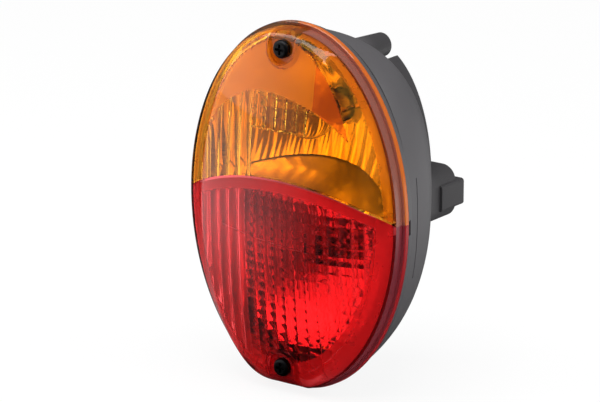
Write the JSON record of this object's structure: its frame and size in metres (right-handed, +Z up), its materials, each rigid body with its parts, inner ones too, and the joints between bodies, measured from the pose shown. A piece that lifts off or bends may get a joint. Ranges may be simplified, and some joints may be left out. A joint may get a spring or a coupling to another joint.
{
  "type": "tail light cluster",
  "caption": "Oval car tail light with a two-colour domed lens, amber above red, on a dark moulded bowl housing with rear bosses and a side connector.",
  "frame": {"origin": "midway between the two rear bosses, in the plane of their end faces", "axes": "+Y points out of the back of the lamp along the bosses, the lens faces -Y, +Z is up along the oval"},
  "size_m": [0.1306, 0.103, 0.1892],
  "materials": {
    "housing_plastic": "satin",
    "amber_lens": "clear gloss",
    "red_lens": "clear gloss",
    "seal_rubber": "matte",
    "screw_steel": "blackened",
    "reflector_coat": "metallised",
    "holder_steel": "zinc plated",
    "bulb_glass": "clear",
    "cap_brass": "satin",
    "filament_wire": "drawn wire",
    "base_insulator": "gloss black",
    "contact_solder": "dull",
    "strip_brass": "satin",
    "insert_brass": "satin"
  },
  "bodies": {
    "root": {"housing": "housing_plastic", "lens_amber": "amber_lens", "lens_red": "red_lens", "lens_gasket": "seal_rubber", "lens_screw_top": "screw_steel", "lens_screw_bottom": "screw_steel", "reflector": "reflector_coat", "indicator_holder": "holder_steel", "stop_holder": "holder_steel", "indicator_glass": "bulb_glass", "stop_glass": "bulb_glass", "indicator_cap": "cap_brass", "stop_cap": "cap_brass", "indicator_filament": "filament_wire", "stop_filament": "filament_wire", "tail_filament": "filament_wire", "indicator_base": "base_insulator", "stop_base": "base_insulator", "indicator_contact": "contact_solder", "stop_contact": "contact_solder", "tail_contact": "contact_solder", "indicator_strip": "strip_brass", "stop_strip": "strip_brass", "tail_strip": "strip_brass", "earth_strip": "strip_brass", "insert_top": "insert_brass", "insert_bottom": "insert_brass"}
  },
  "joints": []
}
